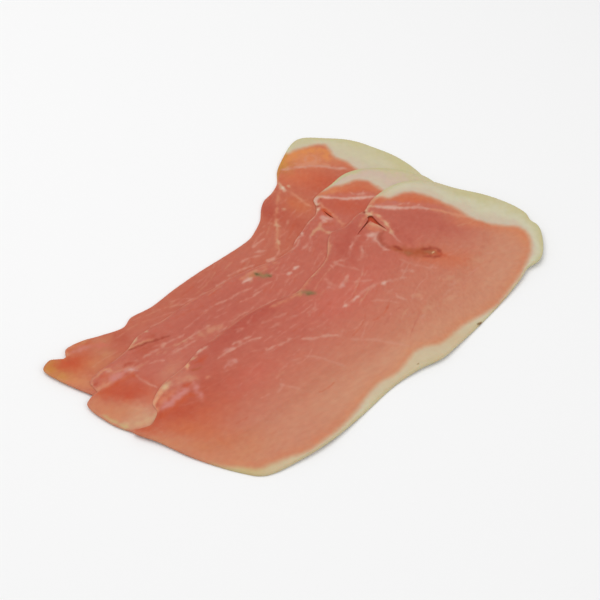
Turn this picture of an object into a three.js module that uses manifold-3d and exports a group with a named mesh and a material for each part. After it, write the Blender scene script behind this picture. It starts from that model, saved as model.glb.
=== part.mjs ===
// Three thin slices of dry-cured ham, shingled one over another so that they cling and lift as one piece.
// Millimetres, +Z up. The origin is the middle of the whole, on the surface that it lies on. +X runs from
// the thin tail of the slices to their fat head, and +Y from the rind side to the lean side.
import * as THREE from 'three';
import { mergeVertices } from 'three/addons/utils/BufferGeometryUtils.js';
import Module from 'manifold-3d';

const sliceThickness = 1.2;
const layGap = 0.3; // between two slices where one lies on the other
const gridStep = 7; // facet size of the draped slices
const edgeStep = 4; // and of their cut edges
const edgeGrip = gridStep * 1.5; // how far past a lower slice's edge the slice above stays raised
const drapeReach = 22; // how far past that edge it comes down to rest
const headLift = 2.2; // the fat head curls up from the surface by this much at its far end
const headLiftStart = 78;
const tailLift = 1.6; // and so does the tail
const tailLiftStart = -88;
const liftRun = 56; // over this length
const rippleHeight = 0.7; // low ripples along the rind side
const rippleLength = 74;
const rippleStart = -34; // how far towards the rind side they begin
const rippleRun = 40;

// One slice of the leg, flat, from the middle of the slice: the corners and bends of its cut edge in order.
// The fat cap runs round the head from the notch, the rind side back to the heel corner, then the tail and
// its small tongue, and the lean side returns to the notch.
const edgeMarks = {
  notch: [46, 55], capStart: [53, 59], capRise: [62, 62], capTop: [72, 63], capShoulder: [81, 60],
  capSlope: [88, 55], capFar: [101, 42], capEnd: [111, 30], headBend: [119, 15], headPoint: [121, 1],
  headRim: [116, -11], headUnder: [108, -20], shankTurn: [96, -24], rindA: [80, -31], rindB: [62, -38],
  rindC: [44, -44], cusp: [28, -49], rindD: [15, -49], rindE: [-1, -51], rindF: [-23, -58],
  rindG: [-44, -64], rindH: [-62, -66], heelCorner: [-80, -65], heelTurn: [-89, -58], tailA: [-104, -41],
  tailB: [-115, -25], tip: [-123, -14], tipIn: [-114, -15], bay: [-108, -10], tongue: [-108, -5],
  tongueTop: [-99, 3], splitIn: [-90, 6], splitTip: [-84, 8], splitTop: [-75, 13], leanA: [-64, 16],
  leanB: [-46, 21], leanC: [-30, 22], leanD: [-12, 25], leanE: [3, 30], elbowLow: [11, 35],
  elbow: [17, 44], leanF: [22, 49], leanG: [30, 49], leanH: [35, 51], leanI: [43, 55],
};

// The slices were cut one after another, so each has the same outline, a little turned and drawn in, with
// some of its corners moved. They are listed from the lowest up.
const slices = [
  {
    name: 'slice_back',
    color: 0xc0705a,
    middle: [-14, 24],
    turn: -2,
    stretch: 0.93,
    moved: {
      notch: [-1, 5], capStart: [-4, 9], capRise: [-6, 14], capTop: [1, 25], capShoulder: [8, 21],
      capSlope: [14, 17], capFar: [10, 18], capEnd: [8, 16], headBend: [5, 12], headPoint: [2, 5],
      tailA: [-5, 7], tailB: [-7, 9], tip: [-3, 7], tipIn: [-7, 12], bay: [-5, 5], tongue: [-3, 5],
      tongueTop: [-3, -1], splitIn: [1, -5], splitTip: [7, -7], splitTop: [3, -8], leanA: [5, -9],
      leanB: [4, -8], leanC: [5, -4], leanD: [4, -3], leanE: [1, -5], elbowLow: [1, -7], elbow: [0, -12],
      leanF: [1, -11], leanG: [-3, -4], leanH: [-3, 0], leanI: [-5, -1],
    },
  },
  {
    name: 'slice_middle',
    color: 0xc26e5c,
    middle: [-8, 3],
    turn: -1.5,
    stretch: 0.98,
    moved: {
      notch: [2, 1], capTop: [1, 3], capShoulder: [3, 5], capSlope: [11, 2], capFar: [10, 1],
      capEnd: [5, 0], heelCorner: [4, 3], heelTurn: [6, 2], tailA: [7, -3], tailB: [6, -5], tip: [8, 0],
      tipIn: [3, 4], tongue: [-1, 2], tongueTop: [-4, -2], splitIn: [-4, -2], splitTop: [-2, 0],
      leanC: [1, 2], leanD: [2, 2], leanE: [7, -3], elbowLow: [10, -5], elbow: [8, -10], leanF: [9, -11],
      leanG: [8, -6], leanH: [9, -5], leanI: [4, -4],
    },
  },
  { name: 'slice_front', color: 0xc67264, middle: [14, -19], turn: 0, stretch: 1, moved: {} },
];

// The closed cut edge of one slice, where it lies among the others. It passes through every mark.
function cutEdge(slice) {
  const turn = THREE.MathUtils.degToRad(slice.turn);
  const marks = Object.entries(edgeMarks).map(([name, mark]) => {
    const shift = slice.moved[name] ?? [0, 0];
    const point = new THREE.Vector2(mark[0] + shift[0], mark[1] + shift[1]);
    point.rotateAround(new THREE.Vector2(0, 0), turn).multiplyScalar(slice.stretch);
    point.add(new THREE.Vector2(...slice.middle));
    return new THREE.Vector3(point.x, point.y, 0);
  });
  const curve = new THREE.CatmullRomCurve3(marks, true, 'centripetal');
  return marks.flatMap((mark, index) => {
    const next = marks[(index + 1) % marks.length];
    const steps = Math.max(1, Math.round(mark.distanceTo(next) / edgeStep));
    return Array.from({ length: steps }, (_, step) => {
      const point = curve.getPoint((index + step / steps) / marks.length);
      return new THREE.Vector2(point.x, point.y);
    });
  });
}

const edges = slices.map(cutEdge);
const wholeMiddle = new THREE.Box2().setFromPoints(edges.flat()).getCenter(new THREE.Vector2());
edges.flat().forEach((point) => point.sub(wholeMiddle));

// How far a point lies outside a closed edge: 0 anywhere within it.
function distanceOutside(edge, x, y) {
  let inside = false;
  let nearest = Infinity;
  edge.forEach((start, index) => {
    const end = edge[(index + 1) % edge.length];
    if (start.y > y !== end.y > y && x < start.x + ((y - start.y) / (end.y - start.y)) * (end.x - start.x)) {
      inside = !inside;
    }
    const run = end.clone().sub(start);
    const along = ((x - start.x) * run.x + (y - start.y) * run.y) / run.lengthSq();
    const foot = start.clone().addScaledVector(run, THREE.MathUtils.clamp(along, 0, 1));
    nearest = Math.min(nearest, Math.hypot(x - foot.x, y - foot.y));
  });
  return inside ? 0 : nearest;
}

// The curl of the head and the tail and the ripples of the rind side, shared by the slices as they cling.
function curl(x, y) {
  const head = headLift * THREE.MathUtils.smoothstep(x, headLiftStart, headLiftStart + liftRun);
  const tail = tailLift * THREE.MathUtils.smoothstep(-x, -tailLiftStart, -tailLiftStart + liftRun);
  const side = THREE.MathUtils.smoothstep(-y, -rippleStart, -rippleStart + rippleRun);
  const ripple = rippleHeight * side * (1 - Math.cos((2 * Math.PI * x) / rippleLength));
  return head + tail + ripple;
}

// The height of a slice's underside before it curls: it lies on the slices below and comes down past them.
function restHeight(level, x, y) {
  let height = 0;
  for (let below = 0; below < level; below += 1) {
    const past = distanceOutside(edges[below], x, y);
    const cover = 1 - THREE.MathUtils.smoothstep(past, edgeGrip, drapeReach);
    const top = restHeight(below, x, y) + sliceThickness + layGap;
    height = Math.max(height, top * cover);
  }
  return height;
}

const wasm = await Module();
wasm.setup();

function toSolid(geometry) {
  geometry.deleteAttribute('normal');
  geometry.deleteAttribute('uv');
  const merged = mergeVertices(geometry, 1e-4);
  const vertProperties = new Float32Array(merged.attributes.position.array);
  const triVerts = new Uint32Array(merged.index.array);
  return new wasm.Manifold(new wasm.Mesh({ numProp: 3, vertProperties, triVerts }));
}

function toGeometry(solid) {
  const mesh = solid.getMesh();
  const geometry = new THREE.BufferGeometry();
  geometry.setAttribute('position', new THREE.BufferAttribute(mesh.vertProperties, 3));
  geometry.setIndex(new THREE.BufferAttribute(mesh.triVerts, 1));
  return geometry;
}

// A sheet of one slice's thickness over the whole lay, draped as that slice lies.
function drapedSheet(level) {
  const reach = new THREE.Box2().setFromPoints(edges[level]).expandByScalar(gridStep);
  const low = reach.min.clone().divideScalar(gridStep).floor().multiplyScalar(gridStep);
  const high = reach.max.clone().divideScalar(gridStep).ceil().multiplyScalar(gridStep);
  const size = high.clone().sub(low);
  const cells = size.clone().divideScalar(gridStep).round();
  const sheet = new THREE.BoxGeometry(size.x, size.y, sliceThickness, cells.x, cells.y, 1);
  sheet.translate((low.x + high.x) / 2, (low.y + high.y) / 2, sliceThickness / 2);
  const position = sheet.attributes.position;
  for (let index = 0; index < position.count; index += 1) {
    const x = position.getX(index);
    const y = position.getY(index);
    position.setZ(index, position.getZ(index) + restHeight(level, x, y) + curl(x, y));
  }
  return toSolid(sheet);
}

// The draped sheet cut to the slice's own edge.
function sliceMesh(slice, level) {
  const depth = 20;
  const cutter = new THREE.ExtrudeGeometry(new THREE.Shape(edges[level]), { depth, bevelEnabled: false });
  cutter.translate(0, 0, -depth / 2);
  const solid = drapedSheet(level).intersect(toSolid(cutter));
  const material = new THREE.MeshStandardMaterial({ color: slice.color, roughness: 0.5, metalness: 0 });
  const mesh = new THREE.Mesh(toGeometry(solid), material);
  mesh.name = slice.name;
  return mesh;
}

const group = new THREE.Group();
slices.forEach((slice, level) => group.add(sliceMesh(slice, level)));

export default group;
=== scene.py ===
import math
import random
import bmesh
import bpy
import numpy as np
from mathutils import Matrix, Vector, geometry, noise
from mathutils.bvhtree import BVHTree


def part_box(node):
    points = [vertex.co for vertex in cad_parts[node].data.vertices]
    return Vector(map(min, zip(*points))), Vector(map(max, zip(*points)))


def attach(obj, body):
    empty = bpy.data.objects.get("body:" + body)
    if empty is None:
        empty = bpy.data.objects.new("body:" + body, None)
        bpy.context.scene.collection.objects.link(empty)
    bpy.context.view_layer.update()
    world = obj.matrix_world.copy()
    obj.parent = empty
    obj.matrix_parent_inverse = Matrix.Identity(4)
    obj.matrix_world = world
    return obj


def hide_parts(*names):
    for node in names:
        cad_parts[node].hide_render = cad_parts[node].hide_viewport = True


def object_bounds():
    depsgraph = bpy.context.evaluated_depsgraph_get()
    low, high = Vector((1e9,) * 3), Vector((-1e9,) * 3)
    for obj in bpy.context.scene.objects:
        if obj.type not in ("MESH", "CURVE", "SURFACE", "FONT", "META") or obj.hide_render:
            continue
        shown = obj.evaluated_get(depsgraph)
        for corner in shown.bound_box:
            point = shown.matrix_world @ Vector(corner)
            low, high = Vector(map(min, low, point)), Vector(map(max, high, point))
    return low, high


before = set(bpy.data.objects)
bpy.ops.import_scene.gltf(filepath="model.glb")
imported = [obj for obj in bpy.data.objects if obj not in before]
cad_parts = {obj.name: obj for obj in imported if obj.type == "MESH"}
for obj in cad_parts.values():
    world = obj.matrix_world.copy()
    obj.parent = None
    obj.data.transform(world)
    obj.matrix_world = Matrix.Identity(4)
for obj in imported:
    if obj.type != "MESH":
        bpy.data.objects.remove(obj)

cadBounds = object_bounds()

# A slice is worked in millimetres from the middle of its box, then moved back and shrunk to metres.
perMetre = 1000

cut = {
    "thickness": 1.2,
    "weld": 0.01,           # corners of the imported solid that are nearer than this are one
    "straight": 0.01,       # a corner that stands out from its neighbours by less than this is left out
    "level": 0.5,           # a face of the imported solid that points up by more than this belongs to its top
    "cell": 1.05,           # mesh size of the underside; the top is twice as fine
    "splitMargin": 2.5,     # the mesh is finer still this near to a split
    "leastGap": 0.001,      # a place on the very line of a split counts as this far from it
    "settlePasses": 5,      # evens the mesh out along the cut edge
    "settleRings": 3,       # over this many squares in from it
    "rimRound": 0.45,       # the cut edge's soft shoulder
    "taperReach": 3.6,      # where it lies on another slice the edge thins out over this far
    "taperDepth": 1.05,
    "taperStart": 2,        # and the thinning sets in over this far past the other slice's edge
    "rimBulge": 0.1,
    "sideTilt": 0.3,        # a corner whose normal rises or falls by less than this is on the cut side
    "surfaceSwell": 0.05,   # uneven thickness left by the blade
}

# How the slices lie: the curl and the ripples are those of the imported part.
lay = {
    "gap": 0.3,             # left between two slices where one lies on the other
    "edgeSink": 0.28,       # but a cut edge sinks on to the slice below
    "edgeSinkReach": 3.0,
    "softness": 40,         # passes that ease a slice down past the edge of the one below
    "leastHeight": 0.02,
    "wellAbove": 50,        # higher than the whole stack
    "headLift": 2.2,
    "headLiftStart": 78,
    "tailLift": 1.6,
    "tailLiftStart": 88,
    "liftRun": 56,
    "rippleHeight": 0.7,
    "rippleLength": 74,
    "rippleStart": 34,
    "rippleRun": 40,
}

# The run of the fibres, in degrees and millimetres, and the fine marbling that follows it.
grain = {
    "patternSeed": 1,       # which pattern the noise follows; 0 would give a new one on every run
    "tailTurn": 4,
    "headTurn": 42,
    "bend": (-70, 45),      # where along the slice the fibres turn up towards the notch
    "bendBack": (15, 85),   # and where they turn back again
    "span": (-160, 160),    # longer than the slices at both ends
    "streakLength": (5, 18),
    "streakWidth": (0.45, 0.8),
    "streakStrength": (0.08, 0.31),
    "streakStray": 0.16,    # how far a streak turns from the fibres, in radians
    "streakBend": 0.12,
    "streakKinks": (0.3, 0.4),  # how far out its two middle marks lie, as shares of half its length
    "streakColours": ("sinew", "sinew", "sinew", "cream", "rose", "wine", "redTail"),
}

# Colours of the meat and the fat, and of the light and shade painted on them, as red, green and blue out of
# 255.
meat = {
    "lean": (190, 102, 83),
    "leanWarm": (189, 102, 78),
    "wine": (183, 93, 76),
    "wineDeep": (178, 82, 66),
    "rose": (194, 113, 96),
    "coral": (204, 108, 90),
    "peach": (201, 136, 106),
    "palePeach": (205, 151, 120),
    "peachLight": (219, 156, 118),
    "redTail": (190, 80, 50),
    "brick": (178, 76, 52),
    "ember": (192, 82, 46),
    "flame": (203, 104, 66),
    "flameLight": (203, 116, 84),
    "flameWarm": (210, 112, 74),
    # painted glow: the red seen through a tear, lighter than the tear's shade would leave it
    "glow": (190, 74, 44),
    "muscle": (213, 134, 90),
    "muscleBright": (217, 138, 80),
    "amberRed": (201, 109, 68),
    "amber": (202, 130, 92),
    "sand": (198, 141, 98),
    "gold": (196, 138, 62),
    "orange": (207, 130, 88),
    "paleOrange": (208, 138, 106),
    "lilac": (203, 130, 120),
    "lilacPale": (208, 154, 142),
    "sinew": (207, 150, 130),
    "sinewPale": (212, 166, 150),
    "cream": (204, 156, 120),
    "crumb": (216, 188, 164),
    "creamWarm": (208, 143, 108),
    "creamLight": (208, 164, 130),
    "butter": (206, 164, 126),
    "butterLight": (210, 174, 134),
    "vessel": (172, 84, 50),
    "vesselCore": (168, 100, 66),
    "vesselDark": (150, 56, 38),
    "shade": (160, 68, 48),
    "olive": (138, 116, 76),
    "oliveDark": (100, 84, 48),
    "amberOlive": (184, 120, 76),
    "fatInner": (203, 186, 163),
    "fat": (202, 192, 160),
    "fatPale": (205, 198, 169),
    "fatOuter": (197, 188, 144),
    "fatPink": (204, 180, 162),
    "fatBelow": (203, 180, 146),
    "fatOlive": (196, 173, 120),
    "rind": (196, 188, 148),
    # partly the paler cut, partly painted highlight against the shade along the edge
    "cutRim": (208, 146, 116),
    "speck": (120, 88, 52),
}


# A smooth curve that passes through every mark, as points a spacing apart.
def curveThrough(marks, closed=False, spacing=1.0):
    marks = [Vector((mark[0], mark[1], 0)) for mark in marks]
    if closed:
        marks = [marks[-1]] + marks + marks[:2]
    else:
        marks = [2 * marks[0] - marks[1]] + marks + [2 * marks[-1] - marks[-2]]

    def handle(before, here, after):
        back = math.sqrt((here - before).length)
        ahead = math.sqrt((after - here).length)
        share = 2 * back * back + 3 * back * ahead + ahead * ahead
        return (after * back * back - before * ahead * ahead + here * share) / (3 * back * (back + ahead))

    path = []
    for before, start, end, after in zip(marks, marks[1:], marks[2:], marks[3:]):
        steps = max(1, round((end - start).length / spacing))
        handles = handle(before, start, end), handle(after, end, start)
        path += geometry.interpolate_bezier(start, *handles, end, steps + 1)[:-1]
    if not closed:
        path.append(marks[-2])
    return np.array([point[:2] for point in path])


def smoothStep(low, high, values):
    share = np.clip((values - low) / (high - low), 0, 1)
    return share * share * (3 - 2 * share)


# A search tree over the upright wall that stands on a closed path.
def wallOn(path):
    count = len(path)
    corners = [(x, y, z) for z in (-1, 1) for x, y in path]
    sides = [(i, (i + 1) % count, (i + 1) % count + count, i + count) for i in range(count)]
    return BVHTree.FromPolygons(corners, sides)


def insideOf(points, path):
    inside = np.zeros(len(points), bool)
    x, y = points.T
    for start, end in zip(path, np.roll(path, -1, axis=0)):
        if start[1] != end[1]:
            crosses = (start[1] > y) != (end[1] > y)
            inside ^= crosses & (x < start[0] + (y - start[1]) * (end[0] - start[0]) / (end[1] - start[1]))
    return inside


# How far each point lies within a closed path: below 0 outside it.
def depthWithin(points, path):
    wall = wallOn(path)
    gap = np.array([wall.find_nearest(Vector((x, y, 0)))[3] for x, y in points])
    return np.where(insideOf(points, path), gap, -gap)


# The points near an open path, how far each lies from it and how far along it, and the length of the path.
def alongPath(points, path, reach):
    near = np.all((points > path.min(0) - reach) & (points < path.max(0) + reach), axis=1)
    chosen = np.nonzero(near)[0]
    places = points[chosen]
    gap = np.full(len(chosen), np.inf)
    along = np.zeros(len(chosen))
    travelled = 0.0
    for start, end in zip(path, path[1:]):
        run = end - start
        length = math.hypot(*run)
        share = np.clip((places - start) @ run / length**2, 0, 1)
        distance = np.hypot(*(places - start - share[:, None] * run).T)
        closer = distance < gap
        gap[closer] = distance[closer]
        along[closer] = travelled + share[closer] * length
        travelled += length
    return chosen, gap, along, travelled


# The middle of a slice's box as seen from above.
def middleOf(node):
    low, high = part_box(node)
    return perMetre * np.array([low[0] + high[0], low[1] + high[1]]) / 2


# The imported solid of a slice, as a closed mesh in millimetres from its middle.
def solidOf(node):
    solid = bmesh.new()
    solid.from_mesh(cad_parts[node].data)
    bmesh.ops.scale(solid, vec=(perMetre,) * 3, verts=solid.verts)
    bmesh.ops.translate(solid, vec=(*-middleOf(node), 0), verts=solid.verts)
    bmesh.ops.remove_doubles(solid, verts=solid.verts, dist=cut["weld"])
    solid.normal_update()
    return solid


# The cut edge of a solid slice as a smooth closed path.
def cutEdgeOf(solid):
    top = {face for face in solid.faces if face.normal.z > cut["level"]}
    rim = [edge for edge in solid.edges if sum(face in top for face in edge.link_faces) == 1]
    onward = {}
    for edge in rim:
        for vertex in edge.verts:
            onward.setdefault(vertex, []).append(edge.other_vert(vertex))
    walk = [rim[0].verts[0]]
    last = None
    while len(walk) < len(rim):
        here = walk[-1]
        walk.append(next(vertex for vertex in onward[here] if vertex != last))
        last = here
    corners = []
    for before, here, after in zip(walk[-1:] + walk, walk, walk[1:] + walk[:1]):
        run = (after.co - before.co).xy
        if abs(run.cross((here.co - before.co).xy)) / run.length > cut["straight"]:
            corners.append(here.co.xy)
    return curveThrough(corners, closed=True)


# Trims the edge in a little round each nick, or lets it out where the depth is below 0.
def trimEdge(edge, nicks):
    run = np.roll(edge, -1, axis=0) - np.roll(edge, 1, axis=0)
    inward = np.column_stack((-run[:, 1], run[:, 0])) / np.hypot(*run.T)[:, None]
    probe = edge + cut["cell"] * inward
    if np.mean(insideOf(probe, edge)) < 0.5:  # most of the edge was probed on its outer side
        inward = -inward
    for middle, reach, depth in nicks:
        share = np.exp(-np.sum((edge - middle) ** 2, axis=1) / reach**2)
        edge = edge + inward * (depth * share)[:, None]
    return edge


# A split is a line of marks with half its width at each. This gives how far outside it a place lies, below 0
# within it, and the nearest place on its side.
def outsideSplits(place, splits):
    nearest = (math.inf, None)
    for marks in splits:
        for start, end in zip(marks, marks[1:]):
            base = Vector(start[:2])
            run = Vector(end[:2]) - base
            share = min(1, max(0, (place - base).dot(run) / run.length_squared))
            foot = base + share * run
            half = start[2] + share * (end[2] - start[2])
            away = (place - foot).length
            if away - half < nearest[0]:
                nearest = (away - half, foot + (place - foot) * (half / max(away, cut["leastGap"])))
    return nearest


# A flat sheet of small squares cut to the edge, with any splits cut out of it.
def cutSheet(edge, splits):
    cell = cut["cell"]
    low = edge.min(0) - cell
    size = edge.max(0) + cell - low
    steps = [int(step) for step in np.ceil(size / cell)]
    sheet = bmesh.new()
    bmesh.ops.create_grid(sheet, x_segments=steps[0], y_segments=steps[1], size=0.5)
    bmesh.ops.scale(sheet, vec=(*size, 1), verts=sheet.verts)
    bmesh.ops.translate(sheet, vec=(*(low + size / 2), 0), verts=sheet.verts)
    for margin in (cut["splitMargin"], cut["splitMargin"] / 2):
        near = [
            line for line in sheet.edges
            if splits and all(outsideSplits(vertex.co.xy, splits)[0] < margin for vertex in line.verts)
        ]
        if near:
            bmesh.ops.subdivide_edges(sheet, edges=near, cuts=1, use_grid_fill=True)
    middles = np.array([face.calc_center_median().xy for face in sheet.faces])
    keep = insideOf(middles, edge)
    waste = [
        face for face, kept, middle in zip(sheet.faces, keep, middles)
        if not kept or (splits and outsideSplits(Vector(middle), splits)[0] < 0)
    ]
    bmesh.ops.delete(sheet, geom=waste, context="FACES")
    loose = True
    while loose:  # no two parts of the sheet may hang together by one corner
        pinched = [v for v in sheet.verts if sum(line.is_boundary for line in v.link_edges) > 2]
        loose = [v.link_faces[0] for v in pinched]
        bmesh.ops.delete(sheet, geom=list(dict.fromkeys(loose)), context="FACES")
    wall = wallOn(edge)
    rim = [v for v in sheet.verts if v.is_boundary]

    def snapRim():  # on to the cut edge or the side of a split, whichever is nearer
        for vertex in rim:
            foot, _, _, gap = wall.find_nearest(vertex.co)
            out, way = outsideSplits(vertex.co.xy, splits)
            vertex.co.xy = way if abs(out) < gap else foot.xy

    for _ in range(cut["settlePasses"]):
        snapRim()
        band = dict.fromkeys(rim)
        for _ in range(cut["settleRings"]):
            band.update(dict.fromkeys([line.other_vert(v) for v in band for line in v.link_edges]))
        bmesh.ops.smooth_vert(sheet, verts=list(band), factor=0.5, use_axis_x=True, use_axis_y=True)
    snapRim()
    return sheet


# The height of the lowest slice's underside at a place in the whole part.
def curlAt(x, y):
    head = lay["headLift"] * smoothStep(lay["headLiftStart"], lay["headLiftStart"] + lay["liftRun"], x)
    tail = lay["tailLift"] * smoothStep(lay["tailLiftStart"], lay["tailLiftStart"] + lay["liftRun"], -x)
    side = smoothStep(lay["rippleStart"], lay["rippleStart"] + lay["rippleRun"], -y)
    return head + tail + lay["rippleHeight"] * side * (1 - math.cos(2 * math.pi * x / lay["rippleLength"]))


# Lays the sheet over the slices below, so that it eases down past their edges.
def drapeSheet(sheet, edge, middle, lower):
    rest = []
    wall = wallOn(edge)
    for vertex in sheet.verts:
        x, y = vertex.co.xy + Vector(middle)
        height = max(lay["leastHeight"], curlAt(x, y))
        depth = wall.find_nearest(Vector((vertex.co.x, vertex.co.y, 0)))[3]
        gap = lay["gap"] - lay["edgeSink"] * max(0, 1 - depth / lay["edgeSinkReach"]) ** 2
        for _, _, surface in lower:
            hit = surface.ray_cast(Vector((x, y, lay["wellAbove"])), Vector((0, 0, -1)))[0]
            if hit:
                height = max(height, hit.z + gap)
        rest.append(height)
        vertex.co.z = height
    for _ in range(lay["softness"]):
        bmesh.ops.smooth_vert(sheet, verts=sheet.verts, factor=0.5, use_axis_z=True)
        for vertex, height in zip(sheet.verts, rest):
            if vertex.co.z < height:
                vertex.co.z = height


# Gives the sheet its thickness, sides that bulge a little, and a finer top.
def thicken(sheet):
    raised = bmesh.ops.extrude_face_region(sheet, geom=sheet.faces[:])["geom"]
    top = [part for part in raised if isinstance(part, bmesh.types.BMFace)]
    topVerts = list(dict.fromkeys(vertex for face in top for vertex in face.verts))
    bmesh.ops.translate(sheet, vec=(0, 0, cut["thickness"]), verts=topVerts)
    bmesh.ops.recalc_face_normals(sheet, faces=sheet.faces)
    posts = [
        line for line in sheet.edges
        if abs(line.verts[0].co.z - line.verts[1].co.z) > cut["thickness"] / 2
    ]
    middle = bmesh.ops.subdivide_edges(sheet, edges=posts, cuts=1)["geom_inner"]
    sheet.normal_update()
    for vertex in middle:
        if isinstance(vertex, bmesh.types.BMVert):
            vertex.co += Vector((*vertex.normal.xy, 0)) * cut["rimBulge"]
    topLines = list(dict.fromkeys(line for face in top for line in face.edges))
    bmesh.ops.subdivide_edges(sheet, edges=topLines, cuts=1, use_grid_fill=True)


# The uneven patterns: the size of each, and what it adds to the seed of its slice.
patterns = {
    "fine": (0.9, 2),
    "fleck": (2.0, 11),     # paler and darker flecks of lean, longer along the fibres
    "patchy": (2.4, 0),
    "uneven": (5, 7),
    "swell": (7.0, 9),
    "broad": (11, 5),
}


# A slow wander of each point, and an unevenness from -1 to 1, both from seeded noise.
def unevenness(points, look, pattern):
    size, shift = patterns[pattern]
    noise.seed_set(grain["patternSeed"])
    drift = [noise.noise_vector(Vector((x / size, y / size, look["seed"] + shift))) for x, y in points]
    drift = np.array(drift)
    return drift[:, :2], drift[:, 2]


# The fibres of a slice bend up towards the notch: the angle of the fibres a distance along the slice.
def fibreTurn(x):
    share = smoothStep(*grain["bend"], x) * (1 - smoothStep(*grain["bendBack"], x))
    return np.radians(grain["tailTurn"] + (grain["headTurn"] - grain["tailTurn"]) * share)


# Each point's place along and across the fibres.
def fibrePlace(points):
    x = np.arange(*grain["span"])
    rise = np.cumsum(np.tan(fibreTurn(x)))
    length = np.cumsum(1 / np.cos(fibreTurn(x)))
    turn = fibreTurn(points[:, 0])
    above = points[:, 1] - np.interp(points[:, 0], x, rise)
    return np.interp(points[:, 0], x, length) + above * np.sin(turn), above * np.cos(turn)


# How the colours run into each other.
coatBlend = {
    "wander": (0.5, 0.2),   # how far the outline of a stroke wanders, broadly and finely
    "sheerWander": 2,       # and how far those of the painted light showing through thin places do
    "patchWander": 1.5,
    "fatWander": 0.35,
    "patchFade": 1.4,       # the higher, the sooner a patch fades from its middle
    "patchUneven": 0.25,
    "glowUneven": 0.4,
    "fatSoft": 2.0,         # how far the fat and the lean run into each other
    "fatOwn": (0.0, 0.5, 0.3),      # where the inner fat turns into the slice's own: from, to, how unevenly
    "fatOuter": (0.45, 1.0, 0.35),  # and that into the outer fat, from 0 at the lean to 1 at the rind
    "fatPatchy": 0.12,
    "fatThin": 0.5,         # the fat counts as no thinner than this
    "tintUneven": 0.4,
    "rind": 0.3,
    "rindReach": 0.9,
    "rim": 0.38,            # the pale line along a cut edge, partly the paler cut itself and partly a painted highlight that lightens the shade along the edge
    "rimReach": 1.3,
    "rimCore": 0.1,
    "rimShows": (0.7, 1.6), # how much of that line shows, and how unevenly
    "fleckStretch": 1.5,
    "fleckStrength": (0.01, 0.05, 0.055),   # in red, green and blue
}

# How a single stroke lies. Its reach, its ends and the reach of a speck are given as shares of its width.
strokeBlend = {
    "spacing": 0.7,         # between the points of its line, in millimetres
    "reach": 2.2,           # it shows no further than this from its line
    "endLength": 1.5,
    "endWidth": 0.6,        # how wide it starts
    "endFade": (-0.8, 0.6), # it would be gone this far past its tip, and it shows fully this far in
    "widthUneven": 0.5,
    "sideFade": 1.6,        # the higher, the sooner it fades sideways
    "breaks": 1.3,          # how much the fainter strokes come and go
    "unbroken": 1.15,       # the strength at which a stroke wouldn't break up at all
    "thickest": 1.2,
    "speckSpacing": 0.3,
    "speckReach": 2,
    "speckCore": 0.2,       # the solid middle of a speck
}

everywhere = slice(None)  # all the points of a coat of colour


def plainCoat(colour, points):
    return np.tile(np.array(meat[colour], float), (len(points), 1))


def blend(coat, chosen, colour, share):
    coat[chosen] += (np.array(meat[colour]) - coat[chosen]) * np.clip(share, 0, 1)[:, None]


# Short streaks of marbling that follow the fibres, scattered round the places where they are thickest.
def scatterStreaks(look):
    draw = random.Random(look["seed"])
    streaks = []
    for count, middle, reach in look["marbling"]:
        for _ in range(count):
            x = draw.gauss(middle[0], reach[0])
            y = draw.gauss(middle[1], reach[1])
            turn = float(fibreTurn(x)) + draw.gauss(0, grain["streakStray"])
            half = draw.uniform(*grain["streakLength"]) / 2
            bend = draw.gauss(0, grain["streakBend"]) * half
            run = np.array([math.cos(turn), math.sin(turn)]) * half
            side = np.array([-run[1], run[0]]) / half * bend
            middleMark = np.array([x, y])
            marks = [
                middleMark - run + side, middleMark - run * grain["streakKinks"][0],
                middleMark + run * grain["streakKinks"][1], middleMark + run + side,
            ]
            colour = draw.choice(grain["streakColours"])
            strength = draw.uniform(*grain["streakStrength"])
            streaks.append((colour, strength, draw.uniform(*grain["streakWidth"]), 0, marks))
    return streaks


# Soft fields of colour, each an ellipse with a wandering outline.
def layPatches(coat, look, points, wander, mottle):
    for colour, strength, middle, reach, turn in look["patches"].values():
        turned = math.radians(turn)
        offset = points + wander * coatBlend["patchWander"] - middle
        along = offset @ (math.cos(turned), math.sin(turned)) / reach[0]
        across = offset @ (-math.sin(turned), math.cos(turned)) / reach[1]
        share = np.exp(-(along**2 + across**2) * coatBlend["patchFade"])
        blend(coat, everywhere, colour, strength * share * (1 + coatBlend["patchUneven"] * mottle))


# Single strokes, from the scattered marbling to the tendons and the vessel. Some rise or sink a little.
def layStrokes(coat, relief, strokes, places, patchy, uneven):
    fromEnd, toFull = strokeBlend["endFade"]
    slim = strokeBlend["endWidth"]
    for colour, strength, width, rise, marks in strokes:
        path = curveThrough(marks, spacing=strokeBlend["spacing"])
        chosen, gap, along, length = alongPath(places, path, width * strokeBlend["reach"])
        ends = np.minimum(along, length - along) / (strokeBlend["endLength"] * width)
        half = width * (slim + (1 - slim) * smoothStep(0, 1, ends))
        half *= 1 + strokeBlend["widthUneven"] * patchy[chosen]
        share = np.exp(-strokeBlend["sideFade"] * (gap / half) ** 2) * smoothStep(fromEnd, toFull, ends)
        breaks = strokeBlend["breaks"] * (strokeBlend["unbroken"] - strength)
        share *= np.clip(1 + breaks * (uneven[chosen] + patchy[chosen]), 0, strokeBlend["thickest"])
        blend(coat, chosen, colour, strength * share)
        relief[chosen] += rise * share


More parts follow.
